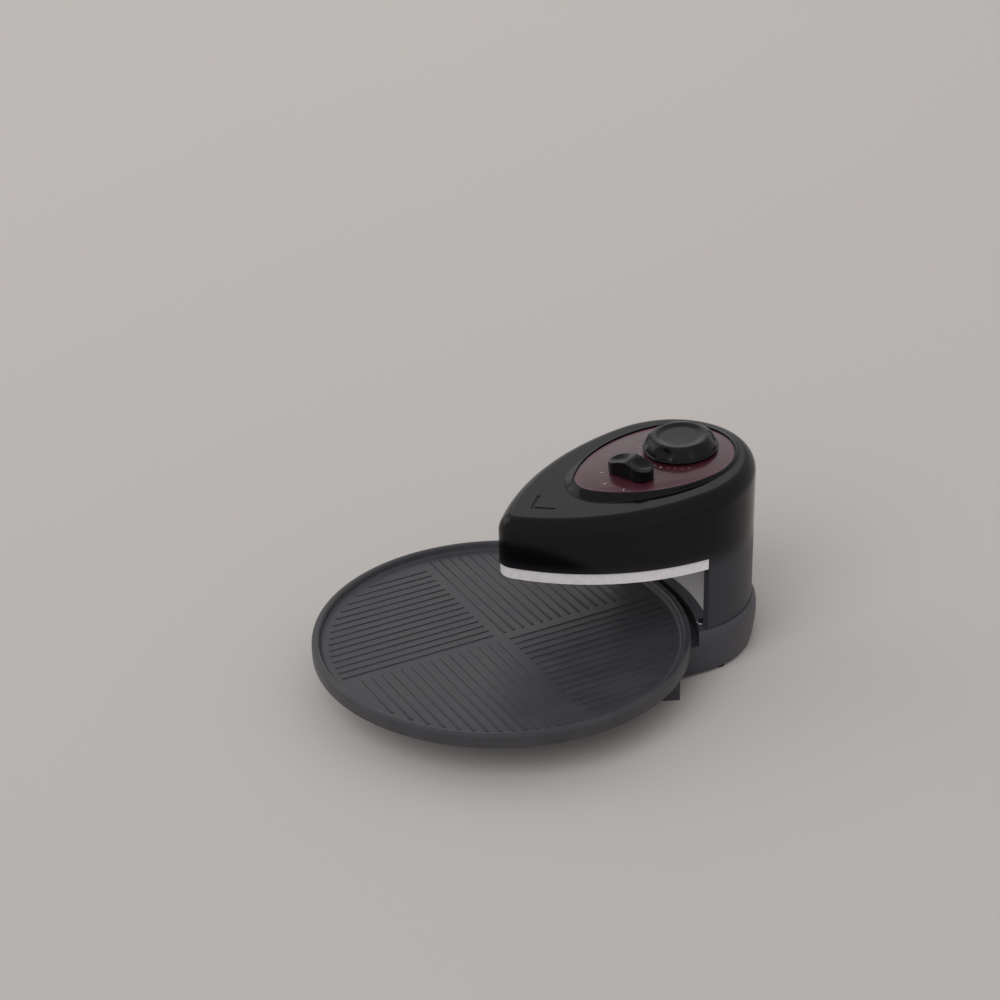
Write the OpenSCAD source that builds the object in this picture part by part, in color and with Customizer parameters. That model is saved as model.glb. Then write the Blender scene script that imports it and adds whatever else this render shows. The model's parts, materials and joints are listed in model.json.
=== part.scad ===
// Countertop rotating pizza oven: a boat-shaped heater head on a rear column,
// a matching base, and a round baking pan that turns on a driven hub between them.
// Millimetres, +Z up, front towards -Y. Modules are drawn about the pan's axis.

/* [Baking pan] */
// Outer diameter of the baking pan
pan_d = 338; // [334:1:340]
// Height of the pan's rim above the table
pan_rim_z = 50; // [49.8:0.1:51]
// Depth of the skirt that hangs outside the rim
pan_skirt = 13; // [12:0.5:13]
// Width of the rounded rim
pan_rim_w = 7.5; // [6.5:0.5:9]
// Depth of the dish inside the rim
pan_dish = 6.5; // [6:0.25:6.75]
// Spacing of the ribs pressed into the pan's floor
rib_pitch = 9.5; // [8:0.5:12]
// Height of those ribs
rib_h = 0.8; // [0.5:0.1:1]

/* [Heater head] */
// Half width of the head, the radius of its round stern
head_half_w = 83; // [82.5:0.5:84]
// Centre of the stern, behind the pan's axis
stern_y = 166; // [165:0.5:168]
// Radius of the head's nose, seen from above
nose_r = 17; // [15:0.5:19]
// Centre of the nose, behind the pan's axis
nose_y = 18; // [16:0.5:22]
// Radius of the head's long side curves
side_r = 215; // [205:5:240]
// Height of the head's lower edge
head_bottom_z = 118; // [116:0.5:120]
// Height of the top surface above the stern's centre
head_top_z = 179; // [178:0.5:182]
// Rise of the top surface per millimetre towards the back
top_slope = 0.1; // [0.09:0.005:0.11]
// Width of the rounded shoulder
shoulder_w = 12.5; // [12:0.5:13]
// Height of the rounded shoulder
shoulder_h = 15; // [14:0.5:16]
// Wall of the moulded head
head_wall = 2.6; // [2.4:0.1:2.8]

/* [Column] */
// Front edge of the column, behind the pan's axis
column_y = 165; // [164:0.5:165]
// Radius of the polished shield on the column, about the pan's axis
shield_r = 186; // [185:0.5:188]

/* [Base] */
// Height of the base's deck round the column
deck_z = 46; // [45.5:0.5:46.5]
// Height of the base under the pan
base_front_z = 34; // [33.5:0.25:34.5]
// Gap between the table and the base's lower edge
base_lift = 3; // [3:0.5:4]
// How far the base stands out round the column
base_lip = 4.5; // [4:0.25:5]
// Radius of the base's nose
base_nose_r = 46; // [45:0.5:48]
// Radius of the base's long sides
base_side_r = 420; // [400:10:460]
// Radius of the swept outriggers' outer edge
outrigger_r = 116; // [114:0.5:118]

/* [Controls] */
// Height of the control plate above the head's top, at the plate's narrow end
panel_rise = 5.1; // [4.6:0.1:5.6]
// Rise of the control plate per millimetre towards the back
panel_slope = 0.066; // [0.064:0.002:0.07]
// Timer knob's axis, to the right of the pan's axis
timer_x = -4; // [-5:0.5:-3]
// Timer knob's axis, behind the pan's axis
timer_y = 187; // [186:0.5:188]
// Diameter of the timer knob's skirt
timer_knob_d = 68; // [66:0.5:69]
// Height of the timer knob
timer_knob_h = 13; // [12.5:0.5:14]
// Heat selector's axis, to the right of the pan's axis
selector_x = 11; // [10:0.5:12]
// Heat selector's axis, behind the pan's axis
selector_y = 126.5; // [126:0.5:127]
// Length of the selector knob
selector_knob_d = 45; // [43:0.5:46]
// Height of the selector knob
selector_knob_h = 15; // [14:0.5:16]

/* [Heating] */
// Height of the bright reflector band that shows under the head
band_h = 11; // [10:0.5:12]
// Diameter of the tubular heating elements
element_d = 6.6; // [6.2:0.1:7]

/* [Hidden] */
$fn = 64;
eps = 0.01;

// Frame: the part's origin is under the middle of its overall length
pan_r = pan_d / 2;
back_y = stern_y + head_half_w + base_lip;
pan_axis_y = (pan_r - back_y) / 2;

// Plans: [nose centre, nose radius, stern centre, stern radius, side radius]
head_plan = [nose_y, nose_r, stern_y, head_half_w, side_r];
base_plan = [0, base_nose_r, stern_y, head_half_w + base_lip, base_side_r];
bezel_plan = [111, 40, 178, 57.4, 150];
panel_plan = [103.7, 25, 177.9, 53.5, 109.8];
upper_loop = [52, 15, 145, 50, 240];
lower_recess = [62, 20, 110, 44, 220];
lower_loop = [70, 11, 106, 31, 220];

// Sheet and moulding thicknesses
sheet = 1;
base_wall = 3;
plate_t = 1.35;
cover_t = 2;

// Levels
slope_deg = atan(top_slope);
band_z = head_bottom_z - band_h;
pan_floor_z = pan_rim_z - pan_dish;
pan_under_z = pan_floor_z - sheet;
skirt_z = pan_rim_z - pan_skirt;
upper_element_z = band_z + 8;
lower_element_z = base_front_z - 8;
recess_floor_z = base_front_z - 18;
reflector_top_z = head_bottom_z + 15;
bracket_t = 1.5;
bracket_plate_z = reflector_top_z;
baffle_z = bracket_plate_z + bracket_t;
baffle_t = 1.2;
hub_z = base_front_z + 1;

// Angle of the stern's arc that lies in front of the column's edges
edge_angle = 29;

// Control plate: its sunk seat, the lip round it and the wall under it
plate_recess = 1;
lip_h = 0.6;
panel_wall = 2;
panel_deg = atan(panel_slope);

// Shafts, bushes and screws
timer_at = [timer_x, timer_y];
selector_at = [selector_x, selector_y];
knob_shaft_r = 3;
control_bush_r = 5.5;
control_hole_r = 6.4;
motor_shaft_r = 3.5;
running_gap = 0.05;
seat_gap = 0.2;
pilot_r = 1.6;
screw_r = 1.5;
screw_head_r = 3.2;
screw_head_h = 2;

// Points round the nose, the side and the stern of half a plan
nose_steps = 8;
side_steps = 12;
stern_steps = 18;

black = [0.07, 0.07, 0.08];
pan_grey = [0.22, 0.22, 0.24];
maroon = [0.29, 0.16, 0.19];
silver = [0.78, 0.78, 0.8];
zinc = [0.62, 0.63, 0.66];

// ---- Plans and lofts ---------------------------------------------------

// Centre of the right-hand side arc, which touches nose and stern from outside
function side_centre(p) =
    let (
        to_nose = p[4] - p[1],
        to_stern = p[4] - p[3],
        y = (to_nose ^ 2 - to_stern ^ 2 + p[2] ^ 2 - p[0] ^ 2) / (2 * (p[2] - p[0]))
    )
    [-sqrt(to_nose ^ 2 - (y - p[0]) ^ 2), y];

function arc(centre, r, from, to, steps) =
    [for (i = [0:steps]) let (a = from + (to - from) * i / steps) centre + r * [cos(a), sin(a)]];

function without_last(points) = [for (i = [0:len(points) - 2]) points[i]];

// Right half of a plan grown outwards by grow, from the nose tip to the stern tip
function half_plan(p, grow) =
    let (
        c = side_centre(p),
        nose_end = atan2(p[0] - c.y, -c.x),
        stern_end = atan2(p[2] - c.y, -c.x)
    )
    concat(
        without_last(arc([0, p[0]], p[1] + grow, -90, nose_end, nose_steps)),
        without_last(arc(c, p[4] + grow, nose_end, stern_end, side_steps)),
        arc([0, p[2]], p[3] + grow, stern_end, 90, stern_steps)
    );

function plan(p, grow = 0) =
    let (right = half_plan(p, grow), n = len(right))
    concat(right, [for (i = [n - 2:-1:1]) [-right[i].x, right[i].y]]);

// Height of the head's sloping top, and of the control plate's plane above it
function top_z(y) = head_top_z + top_slope * (y - stern_y);
function panel_z(y) = top_z(panel_plan[0]) + panel_rise + panel_slope * (y - panel_plan[0]);

// A level ring of a plan, and one that follows the sloping top or the plate's plane
function ring(p, grow, z) = [for (q = plan(p, grow)) [q.x, q.y, z]];
function sloped_ring(p, grow, drop) = [for (q = plan(p, grow)) [q.x, q.y, top_z(q.y) - drop]];
function panel_ring(p, grow, drop) = [for (q = plan(p, grow)) [q.x, q.y, panel_z(q.y) - drop]];

// A level ring that ends at the column, set back from the column's edges and, between
// them, from the shield's arc
function column_limit(p, q, set_back) =
    atan2(q.y - p[2], abs(q.x)) < edge_angle
    ? column_y + 0.5 - set_back
    : sqrt((shield_r - set_back) ^ 2 - q.x ^ 2);
function ring_to_column(p, grow, z, set_back) =
    [for (q = plan(p, grow)) [q.x, min(q.y, column_limit(p, q, set_back)), z]];

// Closed solid through a list of rings, with flat ends
module loft(rings) {
    n = len(rings[0]);
    last = (len(rings) - 1) * n;
    sides = [
        for (j = [0:len(rings) - 2])
        for (i = [0:n - 1])
        let (a = j * n + i, b = j * n + (i + 1) % n)
        each [[a, a + n, b + n], [a, b + n, b]]
    ];
    ends = [[for (i = [0:n - 1]) i], [for (i = [n - 1:-1:0]) last + i]];
    polyhedron([for (r = rings) each r], concat(ends, sides));
}

module prism(p, grow, z0, z1) {
    translate([0, 0, z0])
    linear_extrude(z1 - z0)
    polygon(plan(p, grow));
}

module at_pan_axis() {
    translate([0, pan_axis_y, 0])
    children();
}

// Local frame on the sloping top: +Z is its normal
module on_top(y) {
    at_pan_axis()
    translate([0, y, top_z(y)])
    rotate([slope_deg, 0, 0])
    children();
}

// Local frame on the control plate's plane: +Z is its normal
module on_panel(x, y) {
    at_pan_axis()
    translate([x, y, panel_z(y)])
    rotate([panel_deg, 0, 0])
    children();
}

module mirrored() {
    children();
    mirror([1, 0, 0])
    children();
}

// Half space in front of a plane y = back, from z0 to z1
module front_of(back, z0, z1) {
    translate([-150, -150, z0])
    cube([300, 150 + back, z1 - z0]);
}

module tube(r_out, r_in, h) {
    difference() {
        cylinder(r = r_out, h = h);
        translate([0, 0, -1])
        cylinder(r = r_in, h = h + 2);
    }
}

// Cross-head screw: the head stands on z = 0 and the shank runs down
module screw(length) {
    difference() {
        union() {
            cylinder(r = screw_head_r, h = screw_head_h);
            translate([0, 0, -length])
            cylinder(r = screw_r, h = length + eps);
        }
        for (turn = [0, 90])
            rotate([0, 0, turn])
            translate([-2, -0.4, screw_head_h - 0.9])
            cube([4, 0.8, 2]);
    }
}

// ---- Heater head -------------------------------------------------------

boss_spots = [[38, 100], [62, 150]];

// Shell of the head: shoulder, sloping top, raised bezel and the column's wall
module head_shell() {
    outer = [
        for (t = [0:15:90])
        sloped_ring(head_plan, -shoulder_w * (1 - cos(t)), shoulder_h * (1 - sin(t)))
    ];
    inner = [
        for (t = [90:-22.5:0])
        sloped_ring(
            head_plan,
            (shoulder_w - head_wall) * cos(t) - shoulder_w,
            shoulder_h - (shoulder_h - head_wall) * sin(t)
        )
    ];
    // Foot of the bezel on the top, its crest, the lip and the plate's seat
    bezel = [
        sloped_ring(bezel_plan, 0, 0),
        panel_ring(panel_plan, 2.6, 0),
        panel_ring(panel_plan, 1.2, -lip_h),
        panel_ring(panel_plan, 0.4, plate_recess)
    ];
    pocket = [
        panel_ring(panel_plan, -1.5, plate_recess + panel_wall),
        sloped_ring(bezel_plan, -head_wall, head_wall)
    ];
    loft(concat(
        pocket,
        inner,
        [ring(head_plan, -head_wall, deck_z), ring(head_plan, 0, deck_z)],
        outer,
        bezel
    ));
}

// Fold-back edges of the column, beside the bright shield
column_edge_w = 9;

module column_edges() {
    mirrored()
    intersection() {
        difference() {
            prism(head_plan, -1, deck_z, head_bottom_z + 6);
            prism(head_plan, -column_edge_w, deck_z - 1, head_bottom_z + 7);
        }
        translate([40, column_y, 0])
        cube([60, 3, 200]);
    }
}

// Chevron pressed into the top behind the nose
module chevron() {
    on_top(36)
    translate([0, 0, -0.9])
    linear_extrude(3)
    polygon([[0, -4], [13, 9], [11.4, 10.6], [0, -0.6], [-11.4, 10.6], [-13, 9]]);
}

module upper_housing() {
    color(black) {
        difference() {
            at_pan_axis()
            union() {
                difference() {
                    union() {
                        head_shell();
                        column_edges();
                    }
                    front_of(column_y, 0, head_bottom_z);
                }
                mirrored()
                for (p = boss_spots)
                    translate([p.x, p.y, baffle_z + baffle_t])
                    cylinder(r = 4.5, h = top_z(p.y) - baffle_z - baffle_t - 1);
            }
            chevron();
            at_pan_axis()
            mirrored()
            for (p = boss_spots)
                translate([p.x, p.y, baffle_z])
                cylinder(r = pilot_r, h = 16);
            control_holes();
        }
    }
}

// Clearance holes for the bushes of the timer and the heat switch
module control_holes() {
    for (p = [timer_at, selector_at])
        on_panel(p.x, p.y)
        translate([0, 0, -8])
        cylinder(r = control_hole_r, h = 16);
}

// Printed plate that fills the bezel
module control_plate() {
    color(maroon)
    difference() {
        at_pan_axis()
        loft([for (drop = [plate_recess, plate_recess - plate_t]) panel_ring(panel_plan, 0.2, drop)]);
        control_holes();
    }
}

// Bright pressed pan under the head: its skirt is the band that shows, its back
// follows the column's shield. Each row: growth of the plan, level, set back
band_inset = 1.2;
joggle = head_wall + 0.2;
band_edge_z = head_bottom_z - 0.1;
dome_foot_z = head_bottom_z + 3;
reflector_profile = [
    [-15, reflector_top_z - sheet, 8],
    [-12, reflector_top_z - 2.5, 7],
    [-joggle - 1.4, dome_foot_z, 5],
    [-joggle - 1, band_edge_z - sheet, 4],
    [-band_inset - sheet, band_edge_z - sheet, 2],
    [-band_inset - sheet, band_z, 2],
    [-band_inset, band_z, 1],
    [-band_inset, band_edge_z, 1],
    [-joggle, band_edge_z, 3],
    [-joggle - 0.4, dome_foot_z, 4],
    [-11, reflector_top_z - 1.5, 6],
    [-15, reflector_top_z, 7]
];

module upper_reflector() {
    color(silver)
    difference() {
        at_pan_axis()
        loft([for (row = reflector_profile) ring_to_column(head_plan, row[0], row[1], row[2])]);
        at_pan_axis()
        mirrored()
        translate([upper_loop[3], 140, upper_element_z])
        rotate([-90, 0, 0])
        cylinder(r = element_d / 2 + 0.8, h = 60);
        at_pan_axis()
        head_screw_holes(reflector_top_z - 3);
    }
}

// Clearance holes for the four screws that hang reflector, bracket and baffle
module head_screw_holes(z) {
    mirrored()
    for (p = boss_spots)
        translate([p.x, p.y, z])
        cylinder(r = screw_r + 0.3, h = 6);
}

// Half width of a plan at y along its side arc
function side_x(p, y, grow = 0) =
    let (c = side_centre(p))
    c.x + sqrt((p[4] + grow) ^ 2 - (y - c.y) ^ 2);

// Where a hairpin on that plan runs at y, and which way it points there
function hairpin_x(p, y) = y > p[2] ? p[3] : side_x(p, y);
function hairpin_turn(p, y) = y > p[2] ? 0 : asin((y - side_centre(p).y) / p[4]);

// Path of a hairpin grown outwards by grow: left tail, nose, right tail
function hairpin_path(p, grow, tail_end) =
    let (
        c = side_centre(p),
        nose_end = atan2(p[0] - c.y, -c.x),
        stern_end = atan2(p[2] - c.y, -c.x),
        right = concat(
            without_last(arc([0, p[0]], p[1] + grow, -90, nose_end, nose_steps)),
            without_last(arc(c, p[4] + grow, nose_end, stern_end, 6)),
            arc([0, p[2]], p[3] + grow, stern_end, 0, 4),
            [[p[3] + grow, tail_end]]
        )
    )
    concat([for (i = [len(right) - 1:-1:1]) [-right[i].x, right[i].y]], right);

// Tubular element swept along that path
module hairpin(p, z, tail_end) {
    sides = 12;
    r = element_d / 2;
    strands = [for (k = [0:sides - 1]) hairpin_path(p, r * cos(360 * k / sides), tail_end)];
    loft([
        for (i = [0:len(strands[0]) - 1])
        [for (k = [0:sides - 1]) [strands[k][i].x, strands[k][i].y, z - r * sin(360 * k / sides)]]
    ]);
}

module upper_element() {
    color([0.2, 0.2, 0.22])
    at_pan_axis()
    hairpin(upper_loop, upper_element_z, shield_r + 6);
}

// Strap round the element at y, with a leg to the reflector's sheet at z_sheet
module element_clip(p, y, z, z_sheet) {
    r = element_d / 2;
    translate([hairpin_x(p, y), y, z])
    rotate([0, 0, hairpin_turn(p, y)])
    mirror([0, 0, z_sheet > z ? 0 : 1])
    rotate([90, 0, 0])
    translate([0, 0, -3])
    union() {
        tube(r + 1, r + seat_gap, 6);
        translate([-0.6, r + 0.5, 0])
        cube([1.2, abs(z_sheet - z) - r - 0.5, 6]);
    }
}

module upper_element_clips() {
    color(zinc)
    at_pan_axis()
    mirrored()
    for (y = [72, 126])
        element_clip(upper_loop, y, upper_element_z, reflector_top_z - sheet);
}

// Insulating plate between the reflector and the controls
module heat_baffle() {
    color([0.82, 0.8, 0.74])
    difference() {
        at_pan_axis()
        translate([0, 0, baffle_z])
        linear_extrude(baffle_t)
        polygon([for (q = plan(head_plan, -head_wall - 1.5)) [q.x, min(q.y, bracket_y - 1)]]);
        at_pan_axis()
        head_screw_holes(baffle_z - 3);
    }
}

// ---- Column ------------------------------------------------------------

shield_w = 158;
shield_turn = asin(shield_w / 2 / shield_r);

module column_shield() {
    color(silver)
    at_pan_axis()
    difference() {
        union() {
            translate([0, 0, deck_z])
            rotate([0, 0, 90 - shield_turn])
            rotate_extrude(angle = 2 * shield_turn, $fn = 128)
            translate([shield_r, 0])
            square([sheet, band_z + 2 - deck_z]);
            // Feet that the deck's screws hold
            for (p = deck_screw_spots)
                translate([p.x - 2.7, p.y - 3, deck_z])
                cube([5.4, sqrt((shield_r + sheet) ^ 2 - p.x ^ 2) - p.y + 3, sheet]);
        }
        for (p = deck_screw_spots)
            translate([p.x, p.y, deck_z - 1])
            cylinder(r = screw_r + 0.2, h = 4);
    }
}

// Folded steel upright on the base, with a plate forward over the reflector
bracket_w = 90;
bracket_y = shield_r + 8;
bracket_d = 26;
wire_y = bracket_y + 13;
wire_hole_r = 9;
bracket_screw_spots = [[28, bracket_y + 14], [-28, bracket_y + 14]];
bracket_half = [
    [bracket_w / 2, bracket_y + bracket_d], [bracket_w / 2, bracket_y - 4],
    [69, 160], [69, 142], [46, 92], [30, 92], [30, 120], [0, 120]
];

module column_bracket() {
    color(zinc)
    at_pan_axis()
    difference() {
        union() {
            translate([-bracket_w / 2, bracket_y, deck_z])
            cube([bracket_w, bracket_t, bracket_plate_z - deck_z + 0.5]);
            mirrored()
            translate([bracket_w / 2 - bracket_t, bracket_y, deck_z])
            cube([bracket_t, bracket_d, bracket_plate_z - deck_z + 0.5]);
            translate([-bracket_w / 2, bracket_y, deck_z])
            cube([bracket_w, bracket_d, bracket_t]);
            mirrored()
            translate([0, 0, bracket_plate_z])
            linear_extrude(bracket_t)
            polygon(concat([[0, bracket_y + bracket_d]], bracket_half));
        }
        bracket_screw_holes(screw_r + 0.2);
        head_screw_holes(bracket_plate_z - 2);
        // Lightening hole in the web and ways for the wires
        translate([0, bracket_y - 1, 92])
        rotate([-90, 0, 0])
        cylinder(r = 20, h = 4);
        translate([0, wire_y, deck_z - 1])
        cylinder(r = wire_hole_r, h = 100);
    }
}

module bracket_screw_holes(r) {
    for (p = bracket_screw_spots)
        translate([p.x, p.y, deck_z - 8])
        cylinder(r = r, h = 16);
}

// ---- Base --------------------------------------------------------------

pan_clear_r = pan_r + 7;

// Section of the base's side, as growth of its plan and level: tucked in at the
// table, upright, then rounded over to the deck
base_foot = [[-4, base_lift], [-2.4, base_lift + 6], [0, base_lift + 24]];
base_shoulder = [[0, deck_z - 9], [-0.6, deck_z - 5], [-1.8, deck_z - 2], [-3.5, deck_z]];

module base_form() {
    loft([for (row = concat(base_foot, base_shoulder)) ring(base_plan, row[0], row[1])]);
}

// Space under the base's low front, a wall inside it and open below
module base_cavity() {
    loft(concat(
        [ring(base_plan, base_foot[0][0] - base_wall, 0)],
        [for (i = [1, 2]) ring(base_plan, base_foot[i][0] - base_wall, base_foot[i][1])],
        [ring(base_plan, -base_wall, base_front_z - base_wall)]
    ));
}

// Underside of the base's top: lower under the pan than round the column
function roof_z(y) = (y > pan_clear_r ? deck_z : base_front_z) - base_wall;

motor_screw_spots = [[-29, 0], [29, 0]];
front_screw_spots = [[0, 32], [66, 125], [-66, 125]];
rear_screw_spots = [[50, 215], [-50, 215]];
cover_screw_spots = concat(front_screw_spots, rear_screw_spots);
deck_screw_spots = [[70.3, 165.5], [-70.3, 165.5]];
foot_spots = [[0, -32], [75.5, 182], [-75.5, 182], [28, 238], [-28, 238]];
gland_z = 22;
gland_hole_r = 7;
gland_length = 9.4;
gland_y = back_y - 0.2 - gland_length;

// Walls and top of the whole base between two levels, hollow and open below
module base_shell(z0, z1) {
    difference() {
        base_form();
        translate([0, 0, base_front_z])
        cylinder(r = pan_clear_r, h = 40, $fn = 128);
        base_cavity();
        difference() {
            prism(base_plan, -0.6 - base_wall, base_front_z - base_wall - 1, deck_z - base_wall);
            cylinder(r = pan_clear_r + base_wall, h = 80, $fn = 128);
        }
        for (z = [z0 - 100, z1])
            translate([-150, -150, z])
            cube([300, 500, 100]);
    }
}

// Boss that reaches down to the bottom cover, and the pilot hole for its screw
module cover_boss(p) {
    translate([p.x, p.y, base_lift + cover_t])
    cylinder(r = 4, h = roof_z(p.y) - base_lift - cover_t + 0.5);
}

module cover_pilot(p) {
    translate([p.x, p.y, base_lift])
    cylinder(r = pilot_r, h = 18);
}

// Bowl of the base: all of it up to the level of its low front
module base_housing() {
    color(black)
    at_pan_axis()
    difference() {
        union() {
            base_shell(0, base_front_z);
            for (p = front_screw_spots)
                cover_boss(p);
            // Bosses that take the motor's bracket
            for (p = motor_screw_spots)
                translate([p.x, p.y, motor_top_z + bracket_t])
                cylinder(r = 3.6, h = base_front_z - base_wall - motor_top_z - bracket_t + 0.5);
        }
        for (p = front_screw_spots)
            cover_pilot(p);
        for (p = motor_screw_spots)
            translate([p.x, p.y, base_front_z - base_wall - 5])
            cylinder(r = pilot_r, h = 6);
        // Seat of the hub's bush
        translate([0, 0, base_front_z - 8])
        cylinder(r = bush_r, h = 16);
        // Opening for the lower reflector
        prism(lower_recess, -2, base_front_z - 8, base_front_z + 1);
        mirrored()
        outrigger_holes(screw_r + 0.2);
        // Cord inlet in the back wall
        translate([0, gland_y - 10, gland_z])
        rotate([-90, 0, 0])
        cylinder(r = gland_hole_r, h = 40);
    }
}

// Deck that closes the bowl round the column; its bosses reach down to the cover
module base_deck() {
    color(black)
    at_pan_axis()
    difference() {
        union() {
            base_shell(base_front_z, deck_z + 1);
            for (p = rear_screw_spots)
                cover_boss(p);
        }
        for (p = rear_screw_spots)
            cover_pilot(p);
        // Wires and bracket screws through the deck
        translate([0, wire_y, deck_z - 8])
        cylinder(r = wire_hole_r, h = 16);
        bracket_screw_holes(pilot_r);
        for (p = deck_screw_spots)
            translate([p.x, p.y, deck_z - 8])
            cylinder(r = pilot_r, h = 16);
    }
}

module bottom_cover() {
    color([0.12, 0.12, 0.13])
    at_pan_axis()
    difference() {
        prism(base_plan, base_foot[0][0] - base_wall - 0.3, base_lift, base_lift + cover_t);
        for (p = cover_screw_spots)
            translate([p.x, p.y, 0])
            cylinder(r = screw_r + 0.2, h = 10);
        // Vent slots under the motor and under the column
        for (i = [-3:3])
            for (y = [24, 180])
                translate([i * 8 - 1.5, y, 0])
                cube([3, 30, 10]);
    }
}

// Swept outrigger that steadies the pan: closed on top, open underneath
outrigger_back = 120;
outrigger_y = 159;

module outrigger_plan(inset) {
    intersection() {
        difference() {
            translate([0, outrigger_y])
            circle(r = outrigger_r - inset, $fn = 128);
            polygon(plan(base_plan, 0.3 + inset));
        }
        translate([40, 0])
        square([100, outrigger_back - inset]);
    }
}

module outrigger() {
    at_pan_axis()
    difference() {
        linear_extrude(base_front_z - 1.5)
        outrigger_plan(0);
        translate([0, 0, -1])
        linear_extrude(base_front_z - 3)
        outrigger_plan(2.5);
        outrigger_holes(screw_r + 0.2);
    }
}

// Two screws a side run in from the base
outrigger_screw_ys = [88, 108];
outrigger_screw_z = 20;

module outrigger_holes(r) {
    for (y = outrigger_screw_ys)
        translate([60, y, outrigger_screw_z])
        rotate([0, 90, 0])
        cylinder(r = r, h = 35);
}

module right_outrigger() {
    color(black)
    outrigger();
}

module left_outrigger() {
    color(black)
    mirror([1, 0, 0])
    outrigger();
}

// Bright tray that holds the lower element under the pan
module lower_reflector() {
    low = recess_floor_z;
    rim = base_front_z;
    color(silver)
    at_pan_axis()
    difference() {
        loft([
            ring(lower_recess, -10, low),
            ring(lower_recess, -6, low + 1.5),
            ring(lower_recess, -3, rim),
            ring(lower_recess, 3, rim),
            ring(lower_recess, 3, rim + sheet),
            ring(lower_recess, -4.2, rim + sheet),
            ring(lower_recess, -7, low + 2.3),
            ring(lower_recess, -10, low + sheet)
        ]);
        mirrored()
        translate([lower_loop[3], 120, lower_element_z])
        rotate([-90, 0, 0])
        cylinder(r = element_d / 2 + 0.8, h = 80);
    }
}

module lower_element() {
    color([0.2, 0.2, 0.22])
    at_pan_axis()
    hairpin(lower_loop, lower_element_z, 195);
}

module lower_element_clips() {
    color(zinc)
    at_pan_axis()
    mirrored()
    for (y = [75, 112])
        element_clip(lower_loop, y, lower_element_z, recess_floor_z + sheet);
}

// ---- Drive -------------------------------------------------------------

motor_r = 25;
bush_r = 7;
hub_r = 10;
lug_w = 6;
lug_end = 19;
flange_t = 2;
lug_turns = [0, 120, 240];
motor_top_z = base_front_z - base_wall - 5.5;
motor_h = 17;

module drive_motor() {
    color(zinc)
    at_pan_axis()
    translate([0, 0, motor_top_z - motor_h])
    difference() {
        union() {
            cylinder(r = motor_r, h = motor_h - 1);
            cylinder(r = motor_r - 1, h = motor_h);
            rotate([0, 0, 55])
            translate([-9, motor_r - 6, 3])
            cube([18, 11, 9]);
        }
        translate([0, 0, 6])
        cylinder(r = motor_shaft_r + running_gap, h = 20);
    }
}

module motor_bracket() {
    color(silver)
    at_pan_axis()
    translate([0, 0, motor_top_z])
    difference() {
        union() {
            cylinder(r = 22, h = bracket_t);
            translate([-34, -6, 0])
            cube([68, 12, bracket_t]);
        }
        translate([0, 0, -1])
        cylinder(r = 8, h = 4);
        for (p = motor_screw_spots)
            translate([p.x, p.y, -1])
            cylinder(r = screw_r + 0.2, h = 4);
    }
}

// Flanged bush that carries the hub's shaft in the base
module hub_bush() {
    color([0.85, 0.83, 0.78])
    at_pan_axis()
    difference() {
        union() {
            translate([0, 0, base_front_z - base_wall - 1])
            cylinder(r = bush_r, h = base_wall + 1);
            translate([0, 0, base_front_z])
            cylinder(r = 11, h = 0.8);
        }
        translate([0, 0, base_front_z - 10])
        cylinder(r = motor_shaft_r + running_gap, h = 20);
    }
}

module motor_shaft() {
    color(silver)
    at_pan_axis()
    translate([0, 0, motor_top_z - 10])
    cylinder(r = motor_shaft_r, h = base_front_z + 6 - motor_top_z + 10);
}

// Hub on the shaft: a flange that carries the pan and three driving lugs
module drive_hub() {
    color([0.16, 0.16, 0.17])
    at_pan_axis()
    translate([0, 0, hub_z])
    difference() {
        union() {
            cylinder(r = 26, h = flange_t);
            cylinder(r = hub_r, h = pan_under_z - hub_z - 0.4);
            for (turn = lug_turns)
                rotate([0, 0, turn])
                translate([hub_r - 2, -lug_w / 2, 1])
                cube([lug_end - hub_r + 2, lug_w, pan_under_z - hub_z - 2.2]);
        }
        translate([0, 0, -1])
        cylinder(r = motor_shaft_r + 0.01, h = 6.5);
    }
}

module motor_screws() {
    color(zinc)
    at_pan_axis()
    for (p = motor_screw_spots)
        translate([p.x, p.y, motor_top_z])
        mirror([0, 0, 1])
        screw(5);
}

// ---- Baking pan --------------------------------------------------------

// Section of the pan to the right of its axis: floor, rounded rim, hanging skirt
module pan_section() {
    rim_in = pan_r - pan_rim_w;
    rim_mid = pan_r - pan_rim_w / 2;
    half = pan_rim_w / 2;
    top = [for (a = [150:-30:0]) [rim_mid + half * cos(a), pan_rim_z - 2.6 + 2.6 * sin(a)]];
    under = [
        for (a = [0:30:150])
        [rim_mid + (half - sheet) * cos(a), pan_rim_z - 2.6 + (2.6 - sheet) * sin(a)]
    ];
    polygon(concat(
        [[0, pan_floor_z], [rim_in - 3.2, pan_floor_z], [rim_in - 2.2, pan_floor_z + 0.5]],
        top,
        [[pan_r, skirt_z], [pan_r - sheet, skirt_z]],
        under,
        [[rim_in - 1.4, pan_under_z], [0, pan_under_z]]
    ));
}

// Raised ribs: four quarters of parallel ribs, turned alternately, inside a plain cross
module pan_ribs() {
    reach = pan_r - pan_rim_w - 8;
    cross = 5;
    count = floor((reach - cross) / rib_pitch);
    translate([0, 0, pan_floor_z - 0.4])
    linear_extrude(rib_h + 0.4)
    intersection() {
        circle(r = reach, $fn = 128);
        for (turn = [0:3])
            rotate([0, 0, 90 * turn])
            for (i = [0:count])
                translate([cross + i * rib_pitch, cross])
                square([2.4, reach]);
    }
}

module baking_pan() {
    color(pan_grey)
    at_pan_axis()
    union() {
        rotate_extrude($fn = 128)
        pan_section();
        pan_ribs();
    }
}

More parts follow.
